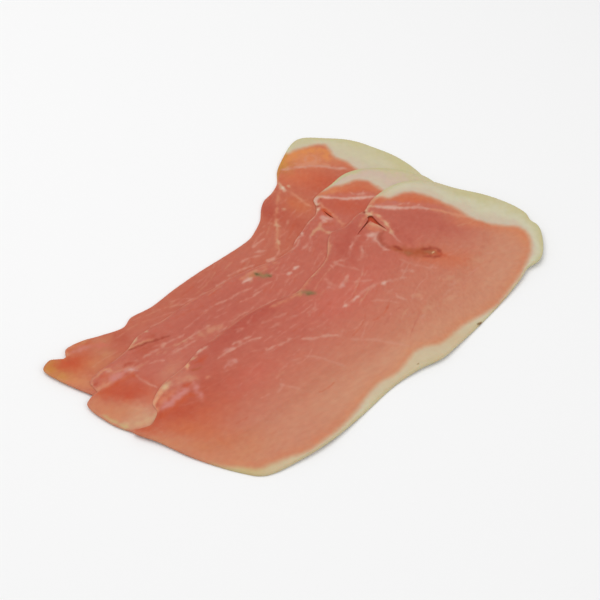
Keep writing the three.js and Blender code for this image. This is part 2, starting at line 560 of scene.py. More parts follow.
# The fat, from the lean out to the rind.
def fatCoatOf(look, points, inLean, rim, patchy, broad):
    coat = plainCoat("fatInner", points)
    depth = np.clip(-inLean / np.maximum(rim - inLean, coatBlend["fatThin"]), 0, 1)  # 1 at the rind
    for colour, turn in ((look["fat"], "fatOwn"), ("fatOuter", "fatOuter")):
        low, high, uneven = coatBlend[turn]
        share = smoothStep(low, high, depth + coatBlend["fatPatchy"] * patchy + uneven * broad)
        blend(coat, everywhere, colour, share)
    for colour, strength, middle, reach in look["fatTints"]:
        share = np.exp(-np.sum(((points - middle) / reach) ** 2, axis=1))
        blend(coat, everywhere, colour, strength * share * (1 + coatBlend["tintUneven"] * broad))
    rind = smoothStep(coatBlend["rindReach"], coatBlend["rimCore"], rim)
    blend(coat, everywhere, "rind", coatBlend["rind"] * rind)
    return coat


# The colours of one slice, laid on from the broadest to the finest, how much of each place is fat, how far
# it lies from the cut edge and how much it rises.
def paintSlice(look, points, edge, lowerEdges):
    wander, patchy = unevenness(points, look, "patchy")
    fineWander = unevenness(points, look, "fine")[0]
    uneven = unevenness(points, look, "uneven")[1]
    broad = unevenness(points, look, "broad")[1]
    places = points + wander * coatBlend["wander"][0] + fineWander * coatBlend["wander"][1]
    rim = np.abs(depthWithin(points, edge))
    coat = plainCoat(look["ground"], points)
    relief = np.zeros(len(points))
    # Painted light: where no slice lies below, the slice is tinted as if light showed through it.
    for lower, (colour, strength, soft) in zip(lowerEdges, look["sheer"]):
        bare = smoothStep(-soft, soft, -depthWithin(places + wander * coatBlend["sheerWander"], lower))
        blend(coat, everywhere, colour, strength * bare)
    layPatches(coat, look, points, wander, broad + uneven)
    lean = np.concatenate([curveThrough(look["fatLine"]), leanSide])
    inLean = depthWithin(points + wander * coatBlend["fatWander"], lean)
    border = np.exp(-(np.maximum(inLean, 0) / look["fatGlow"][1]) ** 2)
    blend(coat, everywhere, "orange", look["fatGlow"][0] * border * (1 + coatBlend["glowUneven"] * uneven))

    along, across = fibrePlace(points)
    stretched = np.column_stack((along / coatBlend["fleckStretch"], across))
    coat *= 1 + np.outer(unevenness(stretched, look, "fleck")[1], coatBlend["fleckStrength"])
    strokes = scatterStreaks(look)
    for colour, strength, width, rise, *lines in look["strokes"].values():
        strokes += [(colour, strength, width, rise, marks) for marks in lines]
    layStrokes(coat, relief, strokes, places, patchy, uneven)

    fatShare = smoothStep(coatBlend["fatSoft"], -coatBlend["fatSoft"], inLean)
    coat += (fatCoatOf(look, points, inLean, rim, patchy, broad) - coat) * fatShare[:, None]
    # A pale line along the cut edge: partly the paler cut, partly painted highlight that lightens the shade
    # where the edge meets what lies below.
    rimHighlightShare = smoothStep(coatBlend["rimReach"], coatBlend["rimCore"], rim) * (1 - fatShare)
    shows = np.clip(coatBlend["rimShows"][0] + coatBlend["rimShows"][1] * broad + uneven, 0, 1)
    blend(coat, everywhere, "cutRim", coatBlend["rim"] * rimHighlightShare * shows)
    for colour, strength, half, marks in look["specks"]:
        path = curveThrough(marks, spacing=strokeBlend["speckSpacing"])
        chosen, gap, _, _ = alongPath(places, path, half * strokeBlend["speckReach"])
        blend(coat, chosen, colour, strength * (1 - smoothStep(strokeBlend["speckCore"], 1, gap / half)))
    for middle, reach, rise in look["bumps"]:
        relief += rise * np.exp(-np.sum((points - middle) ** 2, axis=1) / reach**2)
    return coat, fatShare, rim, relief


# The lean side of every slice's fat line, beyond the cut edge.
leanSide = [(-150, -30), (-150, 70), (30, 80)]

# Places are in millimetres from the middle of the slice's box, and the colours are those of the meat, apart
# from the painted light and shade marked as such.
# sheer: painted light that shows through the slice where a slice below ends, lowest first: colour, strength,
# softness
# fatLine: where the fat meets the lean, from the notch round the head and along the rind side to the heel
# fatGlow: how strong the orange along the fat is, and its reach
# marbling: how many fine streaks, round which place, and how far they spread
# fatTints: colour, strength, middle, reach
# nicks: places where the cut edge is trimmed in or, below 0, let out: where, reach, depth
# bumps: raised or sunk places: where, reach, rise
# splits: tears right through: places along each, with half its width
# patches: colour, strength, middle, reach along and across, turn in degrees
# strokes: colour, strength, width, rise, and the lines of marks that they run through
# specks: colour, strength, half the width, marks

frontSlice = {
    "node": "slice_front",
    "slot": "front_slice_meat",
    "seed": 3,
    "ground": "lean",
    "fat": "fatPale",
    "sheer": [("peach", 0.45, 11), ("peach", 0.75, 13)],
    "fatLine": [
        (44.5, 65.5), (51, 63.5), (56, 61.5), (59, 59.5), (62, 56.5), (66.5, 56), (71.5, 56), (75.5, 54),
        (78.5, 51), (81.5, 47), (85, 40.5), (89, 35), (91, 30.5), (92.5, 24.5), (95, 20), (101, 14),
        (107.5, 8.5), (111, 6), (113, 1.5), (111.5, -5.5), (108, -11), (101, -17), (92, -23), (81.5, -28),
        (72.5, -32), (64.5, -33.5), (53.5, -34.5), (47, -35.5), (39.5, -38), (31.5, -39.5), (24.5, -37.5),
        (18, -38), (12, -41), (4, -44), (-5.5, -44.5), (-15.5, -48.5), (-25.5, -54), (-35, -58),
        (-46.5, -61), (-56.5, -62.5), (-64.5, -61), (-73.5, -60), (-80, -59), (-87, -54), (-93, -50),
        (-97.5, -45.5),
    ],
    "fatGlow": (0.45, 4.5),
    "marbling": [(70, (15, 16), (24, 12)), (60, (-45, -5), (30, 14)), (40, (60, -5), (30, 14))],
    "fatTints": [
        ("sand", 0.75, (-96, -46), (30, 8)), ("creamLight", 0.6, (56.5, 60), (8, 6)),
        ("fatBelow", 0.9, (40, -41.5), (22, 10)), ("fatBelow", 0.75, (-3.5, -45.5), (22, 10)),
        ("fatBelow", 0.5, (20, -40.5), (12, 8)), ("fatOlive", 0.95, (-86, -58), (24, 7)),
        ("fatBelow", 0.7, (-69, -64), (16, 8)), ("fatBelow", 0.6, (-41, -57.5), (20, 12)),
        ("fatInner", 0.5, (84, 54), (18, 8)),
    ],
    "nicks": [
        ((120.2, 6.4), 3.5, 2.4), ((100, -21.3), 5, 1.3), ((-13.5, 27.1), 7, 2.4), ((-34, 22.4), 8, -0.8),
        ((45, 56.4), 4, 1.1),
    ],
    "bumps": [((48.3, 55.5), 2, 0.35), ((44.3, 43.4), 3.2, -0.5), ((41, 36.9), 2.6, 0.2)],
    "splits": [
        [(46.3, 49.1, 1.7), (46.6, 46.7, 1.4), (47.6, 43.1, 0.75), (49.1, 38, 0.15)],
        [(44.9, 48, 0.9), (41.9, 46.4, 0.45), (38.1, 44.3, 0.3), (33.8, 41.9, 0.15)],
    ],
    "patches": {
        "rindLight": ("palePeach", 0.55, (20.5, -35.5), (70, 9), 8),
        "headLight": ("palePeach", 0.3, (101, -3), (22, 12), -30),
        "headEdge": ("muscle", 0.5, (110.5, 0), (7, 11), 20),
        "leanDark": ("wineDeep", 0.9, (-47.5, 17.5), (46, 9), 14),
        "leanElbow": ("wineDeep", 0.65, (28, 40.5), (20, 9), 40),
        "underTendon": ("wine", 0.75, (69.5, 32), (30, 9), -42),
        "headMuscle": ("flame", 0.85, (71.5, 49.5), (24, 5), -28),
        "vesselGlow": ("flame", 0.6, (64.5, 7.5), (18, 7), -35),
        "redTail": ("redTail", 0.95, (-101.5, -13), (24, 12), -25),
        "redTailReach": ("brick", 0.6, (-77.5, -11.5), (34, 15), 0),
        "amberTail": ("amber", 0.85, (-106.5, -29.5), (34, 5.5), -36),
        "amberLow": ("amberRed", 0.5, (-88, -37.5), (17, 7), -20),
        "orangeTail": ("ember", 0.55, (-116, -15), (6, 4), -20),
        "tailPeach": ("peach", 0.6, (-90, 4), (7, 4), 20),
        "tongueRose": ("rose", 0.6, (-90, 1.5), (9, 6), 30),
        "leanMid": ("wine", 0.5, (-23, 3.5), (32, 16), 14),
        "leanBright": ("coral", 0.55, (5.5, 7.5), (30, 16), 14),
        "leanBrightLow": ("coral", 0.5, (-58.5, -13), (26, 9), 10),
        "flameLow": ("flame", 0.4, (-86, -22.5), (14, 10), 0),
        "amberHeel": ("amber", 0.6, (-79, -47.5), (15, 8), 0),
        "amberEdge": ("amberRed", 0.6, (-99.5, -23.5), (15, 6), -32),
        "tearLip": ("paleOrange", 0.7, (44.5, 43), (5, 3), -40),
        "headTop": ("flameLight", 0.7, (94.5, 18.5), (16, 5), -35),
        "lowRight": ("peach", 0.4, (50.5, -39.5), (30, 14), -10),
        "tanRight": ("palePeach", 0.4, (86.5, -16), (13, 13), 0),
        "tanLow": ("palePeach", 0.4, (-23.5, -48), (16, 9), 10),
        "tanMid": ("palePeach", 0.3, (10, -40), (13, 9), 10),
    },
    "strokes": {
        "tendonShade": ("wine", 0.5, 1.6, -0.02, [(54, 50), (59.5, 45.5), (66.5, 41.5), (73, 37), (79, 32)]),
        "tendon": ("sinewPale", 0.8, 1.3, 0.04,
            [(51.5, 55.5), (55, 53.5), (60, 49.5), (66, 46), (72.5, 43), (77, 38.5)]),
        "crumbs": ("creamLight", 1, 2.1, 0.08,
            [(51.5, 55.5), (50.5, 57), (48, 56.5), (46.5, 54.5), (46, 52.5), (47.5, 51), (49, 52)]),
        "tongueRims": ("cream", 0.6, 1.3, 0.03,
            [(42.5, 46.5), (44.5, 45), (46.5, 42.5), (47.5, 39), (48.5, 36.5)]),
        "pearl": ("sinewPale", 0.85, 3.3, 0.06,
            [(38.5, 38.5), (41, 37.5), (44, 37.5)], [(42, 36), (39.5, 34)]),
        "pearlTail": ("sinewPale", 0.75, 1.4, 0.04, [(40.5, 34), (40.5, 30.5), (41, 27), (42, 24.5)]),
        "arcShade": ("shade", 0.55, 2.2, -0.05,
            [(46.5, 37), (43.5, 35.5), (42, 32), (42, 28.5), (43.5, 25.5)]),
        "cords": ("sinew", 0.45, 1.2, 0.03,
            [(35, 40.5), (32.5, 40.5), (29.5, 38.5), (26.5, 36), (24, 33.5), (22, 30)],
            [(37, 36), (33.5, 35), (31, 33), (29.5, 29.5), (27.5, 27), (24.5, 26)],
            [(22, 30), (18.5, 30), (15.5, 30.5), (12.5, 31)]),
        "vessel": ("vessel", 0.95, 3.1, -0.04,
            [(45, 24.5), (48, 21.5), (51, 17.5), (55.5, 15.5), (60, 14), (64, 11.5)]),
        "vesselEnds": ("vesselDark", 0.66, 1.4, -0.05,
            [(46, 25), (47.5, 23), (48.5, 21)], [(58, 16.5), (62.5, 15.5), (65.5, 13.5), (66, 10.5)]),
        "squiggle": ("sinew", 0.5, 1.6, 0.03,
            [(3.5, 23), (3.5, 20), (3.5, 17.5), (6, 16), (8.5, 15.5), (11, 17), (14, 19)]),
        "seam": ("sinew", 0.42, 1.2, 0.03,
            [(2, 3), (5.5, 3), (9.5, 4.5), (14, 6), (18, 7), (22, 7.5), (26, 7.5), (29.5, 6.5), (34.5, 6),
             (40.5, 5)]),
        "flecks": ("sinew", 0.5, 1.2, 0.02,
            [(30.5, -1.5), (30.5, -4.5), (32.5, -7.5)], [(39, -11.5), (40.5, -11)],
            [(20.5, -12.5), (22, -11.5)], [(33, -21), (36, -20)], [(33, -21.5), (32, -25)],
            [(10.5, 30.5), (10.5, 27.5)], [(-45.5, -2.5), (-44, -1.5)]),
        "streaks": ("sinew", 0.6, 0.95, 0.02,
            [(-61, 21), (-55.5, 21), (-50.5, 23.5)], [(-68, 5), (-62, 6), (-56, 6.5), (-50, 7), (-43, 6)],
            [(-44, -2.5), (-39.5, -2), (-34.5, -2.5), (-30, -2)],
            [(-26, -4.5), (-20.5, -6.5), (-14.5, -8), (-9, -10.5)], [(-58, 9), (-52.5, 9), (-47, 9)]),
        "tailRim": ("peachLight", 1, 1.6, 0.06, [(-82, 10.5), (-83, 8.5), (-83.5, 6.5)]),
        "tailSlit": ("redTail", 0.75, 2.2, -0.1, [(-79, 8), (-76, 8), (-72, 9)]),
        "tongueFat": ("butterLight", 1, 4, 0.06, [(-96, 3.5), (-98.5, 2), (-101, 0.5)]),
        "tonguePink": ("flameLight", 0.85, 2.8, 0, [(-105, -6), (-101.5, -4.5), (-98, -3), (-94.5, -2)]),
        "purpleBand": ("lilac", 0.95, 3.1, 0.05,
            [(-105, -9), (-102, -8.5), (-98.5, -8), (-95, -6.5), (-92, -5.5), (-89, -5)]),
        "tailSpots": ("paleOrange", 0.8, 1.6, 0.02, [(-78.5, -3), (-77, -3)]),
        "greenSpot": ("olive", 0.75, 2.2, -0.04, [(-12.5, 23), (-11, 21.5), (-8.5, 19.5), (-6, 17.5)]),
        "headMottle": ("rose", 0.7, 2.2, 0, [(58, 54), (62, 53), (66, 50.5)]),
        "tendonGlow": ("rose", 0.7, 2.6, 0, [(54.5, 55), (61.5, 51.5), (69, 47.5), (76, 42.5), (82, 36.5)]),
        "tendonWide": ("sinewPale", 0.7, 2, 0, [(53.5, 53.5), (59, 50), (64.5, 47)]),
        "headSpecks": ("sinew", 0.6, 1.1, 0,
            [(64.5, 49.5), (67.5, 49.5)], [(69, 47.5), (70.5, 48)], [(72.5, 44.5), (74.5, 44)]),
        "tendonEnd": ("paleOrange", 0.8, 1.4, 0.03, [(77, 38.5), (82, 34), (87, 29.5), (92, 24)]),
        "leftLip": ("creamWarm", 0.5, 1.3, 0.03, [(45.5, 52), (43.5, 50.5), (40.5, 48.5), (37.5, 46)]),
        "rightLip": ("paleOrange", 0.7, 1.4, 0.04,
            [(49, 51.5), (50, 48.5), (50.5, 44.5), (51.5, 41), (51, 36.5)]),
        "notchFat": ("creamWarm", 0.75, 1.7, 0.03, [(57.5, 60), (54, 59.5), (51, 58.5)]),
        "notchShade": ("vesselDark", 0.75, 0.9, -0.1, [(45.5, 56.5), (45.5, 54.5), (45, 53)]),
        "rightCrumbs": ("creamLight", 1, 1.5, 0.05,
            [(50.5, 49), (51, 47.5)], [(51, 43), (51.5, 39)], [(51, 36.5), (50.5, 35), (50, 32.5)]),
        "lipTail": ("sinew", 0.55, 0.9, 0.02, [(50, 34.5), (50, 30), (51, 25.5)]),
        "tongueTint": ("flameLight", 0.7, 1.8, 0, [(41.5, 43), (43.5, 40.5), (45.5, 38)]),
        "cordHighlights": ("sinewPale", 0.35, 1.2, 0.03, [(27.5, 37), (25, 34)], [(30.5, 32), (29.5, 29.5)]),
        "darkBand": ("wineDeep", 0.5, 4, 0,
            [(19.5, 43), (21.5, 36), (21.5, 26.5)], [(54.5, 38), (53.5, 29.5), (55, 22)]),
        "vesselCore": ("vesselCore", 0.9, 1.9, 0, [(48.5, 19), (51.5, 16.5)], [(59, 14.5), (63, 12)]),
        "vesselUnder": ("vesselDark", 0.52, 1.3, 0, [(56.5, 12.5), (60, 10.5), (63.5, 9), (66, 9.5)]),
        "vesselRed": ("redTail", 0.7, 2.4, 0, [(64.5, 10.5), (66.5, 8)]),
        "spotsPale": ("sinew", 0.65, 1.7, 0.02,
            [(40.5, 9.5), (41.5, 9)], [(45, 7), (46.5, 6.5)], [(13, 19), (14.5, 20)],
            [(59.5, -10), (61, -10)], [(61.5, -9), (61.5, -8.5)]),
        "squiggleKnots": ("lilacPale", 0.6, 2, 0.04, [(2.5, 18), (3, 17)], [(8, 15), (10, 16)]),
        "seamKnots": ("sinewPale", 0.9, 1.3, 0.03,
            [(2, 3), (4, 3)], [(9, 4.5), (12.5, 5)], [(27, 6.5), (30, 6.5)]),
        "softLines": ("sinew", 0.32, 1, 0.01,
            [(-10.5, -11.5), (-6.5, -11), (-3.5, -7)],
            [(-5, -15.5), (0, -19), (5, -22), (12, -27.5), (18.5, -33.5)], [(17, 0), (23.5, -3), (28, -7.5)],
            [(14.5, 15), (19, 13), (24, 11)], [(44, 16), (48, 11), (53, 6.5), (58.5, 2.5)],
            [(-39, 13.5), (-32, 13.5), (-25, 13.5)], [(-36.5, 9), (-28.5, 9.5), (-21, 9.5)],
            [(-14, 7.5), (-9.5, 8)], [(-53, 14.5), (-46, 16.5), (-41, 20)],
            [(11.5, 32), (17, 25.5), (22, 20)], [(-30, -14), (-25, -17), (-20.5, -22.5), (-15.5, -28)],
            [(-47, -20.5), (-49.5, -25.5), (-52.5, -27)], [(-48.5, -23.5), (-44.5, -27.5), (-42, -30.5)],
            [(-60.5, -26), (-54.5, -25.5)]),
        "clusterPale": ("lilacPale", 0.4, 1.5, 0.02,
            [(-68, -2), (-64, 0), (-60, 0)], [(-64.5, -2), (-60, -1)], [(-64.5, 7.5), (-56, 7)]),
        "blotches": ("palePeach", 0.45, 2.6, 0,
            [(57.5, -6.5), (62.5, -6.5)], [(63.5, -9.5), (64.5, -9.5)], [(37.5, -7.5), (43.5, -8)],
            [(75.5, -2), (84.5, -3.5)], [(73, -18.5), (78, -17)], [(36.5, -18.5), (42.5, -17)],
            [(51, -17), (57, -17)]),
        "tailCrumbs": ("sinewPale", 1, 1.7, 0.08, [(-79.5, 12.5), (-78.5, 12.5)], [(-74.5, 14), (-73, 14)]),
        "tailPink": ("sinew", 0.85, 1.4, 0.04, [(-76, 13), (-73.5, 14), (-71, 14), (-68.5, 14.5)]),
        "tailOlive": ("butter", 0.85, 1.8, 0.03, [(-78.5, 11), (-77, 11)]),
        # painted shadow along the slit
        "tailSlitLine": ("vessel", 0.75, 1.1, -0.2, [(-82.5, 5), (-80, 4), (-77.5, 4)]),
        "tongueCream": ("peachLight", 1, 2.8, 0.05, [(-100, 2), (-102, 0.5), (-103.5, -1)]),
        "tongueEdge": ("peachLight", 1, 2.4, 0.04,
            [(-103.5, -1), (-105.5, -2.5), (-107.5, -4), (-108, -6), (-107, -8)]),
        "tongueFlecks": ("peach", 0.7, 4.2, 0.02, [(-90.5, 2), (-86.5, 1), (-82.5, -0.5)]),
        "purpleEnd": ("lilac", 0.75, 3.7, 0.04,
            [(-84.5, -3), (-85.5, -6), (-85.5, -8.5)], [(-85.5, -9), (-85.5, -12)]),
        "redDash": ("redTail", 0.95, 1.5, -0.06, [(-90.5, -2), (-88, -2), (-86, -2)]),
        "redUnder": ("ember", 0.75, 2.2, -0.02,
            [(-109, -12), (-104.5, -12), (-100, -11.5), (-95, -9.5), (-90.5, -8.5), (-87, -9.5)]),
        "greenSpotCore": ("oliveDark", 0.4, 0.9, -0.03, [(-10, 19.5), (-8, 18), (-6, 17.5)]),
        "greenHalo": ("amberOlive", 0.6, 2.4, 0, [(-15.5, 20.5), (-12, 22)]),
        # partly painted highlight: pale lines along this slice's cut edge where it lies on the slice below
        "edgeLine": ("peach", 1, 1.7, 0.03,
            [(20.5, 50.5), (18, 48), (17.5, 44.5), (16, 41.5), (13, 38.5), (9.5, 36), (6, 33.5), (2.5, 31.5),
             (-2, 29)]),
        "edgeSoft": ("creamWarm", 0.45, 1.7, 0,
            [(-2, 29), (-7.5, 25.5), (-13.5, 22), (-19, 21), (-24, 21), (-30, 21)]),
    },
    "specks": [
        ("speck", 0.95, 0.9, [(56.4, -38.2), (58.1, -38)]),
        ("speck", 0.6, 0.6, [(15.7, -45.1), (16.6, -45)]),
        ("butterLight", 0.95, 0.8, [(61.8, 12.5), (62.6, 12.5)]),
    ],
}

middleSlice = {
    "node": "slice_middle",
    "slot": "middle_slice_meat",
    "seed": 17,
    "ground": "lean",
    "fat": "fatPink",
    "sheer": [("peach", 0.5, 10)],
    "fatLine": [
        (46, 65.5), (50.5, 61.5), (52.5, 58.5), (55, 57), (59, 57), (63.5, 55.5), (67.5, 55), (72, 55),
        (75.5, 53.5), (78.5, 50.5), (79.5, 46.5), (81, 42.5), (80.5, 45), (82, 38), (84, 27), (87.5, 17),
        (94, 10), (104, 5.5), (109.5, -1), (108, -9.5), (100.5, -16.5), (87, -25), (74, -31.5), (63.5, -35),
        (51, -35.5), (41.5, -36.5), (33.5, -39.5), (24.5, -39.5), (16, -36.5), (11, -40.5), (1, -43.5),
        (-11.5, -43.5), (-22.5, -47.5), (-36, -54.5), (-52, -59), (-66, -59.5), (-80, -57), (-90.5, -50.5),
        (-98.5, -41.5),
    ],
    "fatGlow": (0.45, 4.5),
    "marbling": [(80, (25, 22), (16, 14)), (80, (-45, 5), (38, 9))],
    "fatTints": [],
    "nicks": [],
    "bumps": [((46.7, 52.7), 1.8, 0.35), ((44.4, 46.4), 1.4, 0.2), ((44.2, 37.9), 2.2, -0.35)],
    "splits": [[(46, 43.4, 0.15), (46.5, 41, 0.4), (47.1, 38.7, 0.5), (48, 36, 0.12)]],
    "patches": {
        "headMuscle": ("flame", 0.85, (68, 50.5), (18, 6), -30),
        "underTendon": ("redTail", 0.5, (58, 41.5), (20, 8), -35),
        "leanDark": ("wine", 0.85, (-37, 9.5), (42, 11), 14),
        "tailRed": ("redTail", 0.8, (-98, -11.5), (16, 7.5), -15),
        "tailCream": ("palePeach", 0.9, (-96.5, -28), (13, 9), -38),
        # Painted light: a red glow on this slice under the front slice's tear, lighter than the shade in the
        # opening.
        "underTear": ("glow", 1, (65.5, 24.5), (7, 6), -40),
        "headOrange": ("muscle", 0.65, (56.5, 54.5), (8, 3), -10),
        "tailRedTip": ("ember", 0.6, (-106, -10), (5, 3), -20),
        "tailSand": ("amber", 0.8, (-106.5, -18.5), (15, 8), -40),
        "tailWarm": ("flameLight", 0.55, (-88, -22), (6, 5), 0),
        "rose": ("rose", 0.2, (-77, -10), (22, 8), 8),
        "tailSlitWarm": ("brick", 0.4, (-78.5, 3.5), (16, 5), 22),
        "elbowShade": ("wine", 0.45, (30.5, 29), (12, 8), 40),
        "tailPeach": ("peach", 0.5, (-73.5, -13.5), (10, 5), 30),
        "tailRose": ("paleOrange", 0.4, (-98, -0.5), (10, 4), 20),
        "tailFlush": ("redTail", 0.85, (-97.5, -15), (14, 6), -20),
        "tailPale": ("amber", 0.6, (-107, -22), (12, 5), -38),
    },
    "strokes": {
        "tendon": ("sinewPale", 0.9, 1.4, 0.04,
            [(49.5, 54), (52, 51.5), (56.5, 48.5), (61, 45.5), (66, 43), (71, 41), (75.5, 39)]),
        "crumbs": ("creamLight", 1, 2.2, 0.08,
            [(49.5, 53), (48.5, 54.5), (46.5, 54), (45.5, 52.5), (45.5, 50), (47, 49.5)]),
        "curl": ("cream", 0.6, 1.3, 0.04,
            [(40.5, 37), (38.5, 34.5), (38.5, 32), (39.5, 29.5), (41, 27.5)],
            [(38, 34.5), (34.5, 33), (31, 31)]),
        "cords": ("sinew", 0.5, 1.1, 0.03,
            [(31, 31), (28.5, 28), (25.5, 26), (22, 24.5)], [(25, 32.5), (22, 29.5), (17.5, 27.5)]),
        "flecks": ("sinewPale", 1, 1.5, 0.04,
            [(7, 13.5), (9, 13.5)], [(11.5, 15), (14.5, 15.5)], [(-15.5, 19.5), (-10, 20.5)]),
        "streaks": ("sinew", 0.5, 0.9, 0.02,
            [(-0.5, 18), (3.5, 15.5), (8.5, 13.5)], [(-14, 11.5), (-8.5, 12.5), (-2.5, 13)],
            [(-35, 13.5), (-27.5, 13.5), (-20, 14.5), (-13, 14.5)], [(-23, 9), (-16, 9), (-9.5, 10.5)],
            [(-43, -3), (-39.5, -3), (-36.5, -2)], [(-22.5, -0.5), (-15, 0.5), (-6.5, 1.5)],
            [(-71, 3), (-64, 3.5), (-57, 4)], [(-81, 1.5), (-76, 1.5), (-69, 2)],
            [(-79.5, -4), (-75.5, -4.5), (-72, -5.5)], [(-88.5, -7), (-87, -11), (-85.5, -15), (-83, -18.5)],
            [(-57.5, 0.5), (-50.5, 2), (-43, 3)], [(-68.5, -4), (-59.5, -3), (-53.5, -2)]),
        "tailRim": ("creamWarm", 0.9, 1.3, 0.04,
            [(-85.5, 11), (-83, 12.5), (-80.5, 13.5), (-76.5, 16)],
            [(-85.5, 11), (-83, 10), (-80, 9.5), (-75.5, 9), (-71.5, 8.5)]),
        "tailSlit": ("shade", 0.9, 0.9, -0.2,
            [(-85, 9.5), (-81, 8.5), (-77.5, 8.5), (-72, 8), (-67.5, 7.5), (-64, 7)]),
        "rings": ("creamWarm", 0.8, 1, 0.04,
            [(-109.5, -2), (-108.5, 0), (-105.5, 1.5), (-102.5, 3), (-99.5, 3.5), (-98, 2), (-98, 0.5),
             (-99.5, 1)]),
        "purpleBand": ("lilac", 0.9, 3.2, 0.05, [(-101, -6), (-99, -4.5), (-95.5, -4), (-92.5, -3)]),
        "greenSpot": ("olive", 1, 2, -0.05, [(-7.5, 22.5), (-6, 20), (-3.5, 18.5), (-1, 17)]),
        "greenGlow": ("amberOlive", 0.8, 2, 0, [(-10.5, 21.5), (-8, 21.5)], [(-5, 20), (-4, 19)]),
        "tendonGlow": ("rose", 0.7, 2, 0,
            [(54.5, 51.5), (60.5, 48.5), (66.5, 46), (72.5, 43.5), (75.5, 40)]),
        "mottle": ("sinew", 0.6, 1.2, 0.03,
            [(65.5, 48.5), (66.5, 46.5)], [(68, 45), (71, 44.5)], [(72.5, 45.5), (70.5, 43.5)]),
        # painted highlight on the pale crumb at the notch
        "crumbLight": ("sinewPale", 1, 1.4, 0, [(48.5, 54), (46.5, 53.5), (45.5, 51.5), (45.5, 50)]),
        "bead": ("crumb", 1, 2.2, 0.06, [(43, 46), (45, 46.5)]),
        "beadShade": ("vesselDark", 0.7, 0.8, -0.08, [(44.5, 49.5), (45.5, 48)], [(49, 52), (48.5, 51)]),
        "beadTail": ("sinew", 0.75, 1.2, 0.03,
            [(42.5, 45.5), (39, 43.5), (36.5, 42), (32.5, 40), (29, 37.5)],
            [(26.5, 34), (23.5, 33.5), (20.5, 31)]),
        "knot": ("sinewPale", 1, 1.9, 0.05, [(28.5, 37), (27.5, 34)]),
        "upperLip": ("paleOrange", 0.65, 1.3, 0.04,
            [(47, 48), (47.5, 45), (48, 41), (49, 37.5), (49.5, 34), (50, 30.5), (52, 29.5)]),
        # painted shade inside the split, reddish
        "slitRed": ("ember", 0.9, 1.6, -0.15, [(46, 45.5), (46.5, 43), (47, 40.5), (47.5, 37.5)]),
        "flap": ("sinewPale", 0.95, 2.6, 0.04,
            [(43.5, 40), (45, 37.5), (46, 36.5)], [(42.5, 38.5), (43, 36.5)]),
        "curlKnot": ("creamLight", 0.8, 2, 0.04, [(39.5, 29), (41, 27.5)]),
        "curlTail": ("sinew", 0.55, 1.2, 0.02, [(41, 27.5), (44.5, 26.5), (48, 27)]),
        "redTint": ("ember", 0.5, 2, 0,
            [(42, 34), (45, 33)], [(47.5, 24.5), (55, 29)], [(40, 20.5), (43, 16)]),
        "paleBand": ("peach", 0.6, 3.2, 0, [(-51.5, 0), (-44.5, 0), (-38, -0.5)]),
        "tailKnots": ("creamLight", 0.8, 1.6, 0.03, [(-81, 13), (-78, 14.5)], [(-73, 17), (-71.5, 15)]),
        "tailSlitRed": ("brick", 0.5, 2.4, 0,
            [(-83.5, 6), (-79.5, 5.5), (-75, 5)], [(-74.5, 11.5), (-69, 11)]),
        "ringRed": ("redTail", 0.45, 3, 0, [(-106, -2), (-100.5, 0)]),
        "ringKnot": ("sinewPale", 0.8, 1.7, 0.04, [(-99.5, 2), (-99, 1)]),
        "ringLow": ("paleOrange", 0.8, 2.2, 0.03, [(-109.5, -5), (-107.5, -6), (-104, -6), (-101, -5.5)]),
        "ringShade": ("brick", 0.7, 1.4, -0.04,
            [(-109, -2.5), (-107, -2.5)], [(-91.5, 0.5), (-89, 1), (-86.5, 1)]),
        "purpleEnd": ("lilacPale", 0.9, 2.4, 0.05, [(-91, -2.5), (-89, -3), (-87, -4.5)]),
        "redUnder": ("ember", 0.6, 2.4, -0.02,
            [(-109, -9), (-104.5, -9), (-100, -8), (-95, -6.5), (-91, -6), (-88.5, -8.5)]),
        "creamEdge": ("butter", 0.75, 3.4, 0.02,
            [(-106.5, -29.5), (-103.5, -31.5), (-99.5, -32), (-96, -33.5), (-92.5, -33.5), (-90.5, -33)]),
        "oliveEdge": ("fatOlive", 0.65, 1.3, 0,
            [(-112, -20.5), (-109.5, -25.5), (-107, -29.5), (-104, -33.5)]),
        "orangeEdge": ("amber", 0.8, 2.4, 0, [(-114.5, -13.5), (-112, -11.5), (-109.5, -10)]),
        "greenSpotCore": ("oliveDark", 0.9, 1, -0.03, [(-7.5, 22), (-6, 20.5)], [(-2, 17), (-1.5, 16.5)]),
        # partly painted highlight: pale lines along this slice's cut edge where it lies on the slice below
        "edgeLine": ("creamWarm", 0.75, 1, 0.02,
            [(42, 48.5), (38, 45.5), (33, 43), (27.5, 40), (22.5, 36), (18, 32.5)]),
        "edgeSoft": ("creamWarm", 0.5, 1.7, 0, [(6.5, 24), (0, 24), (-7, 24), (-16, 22.5)]),
    },
    "specks": [],
}

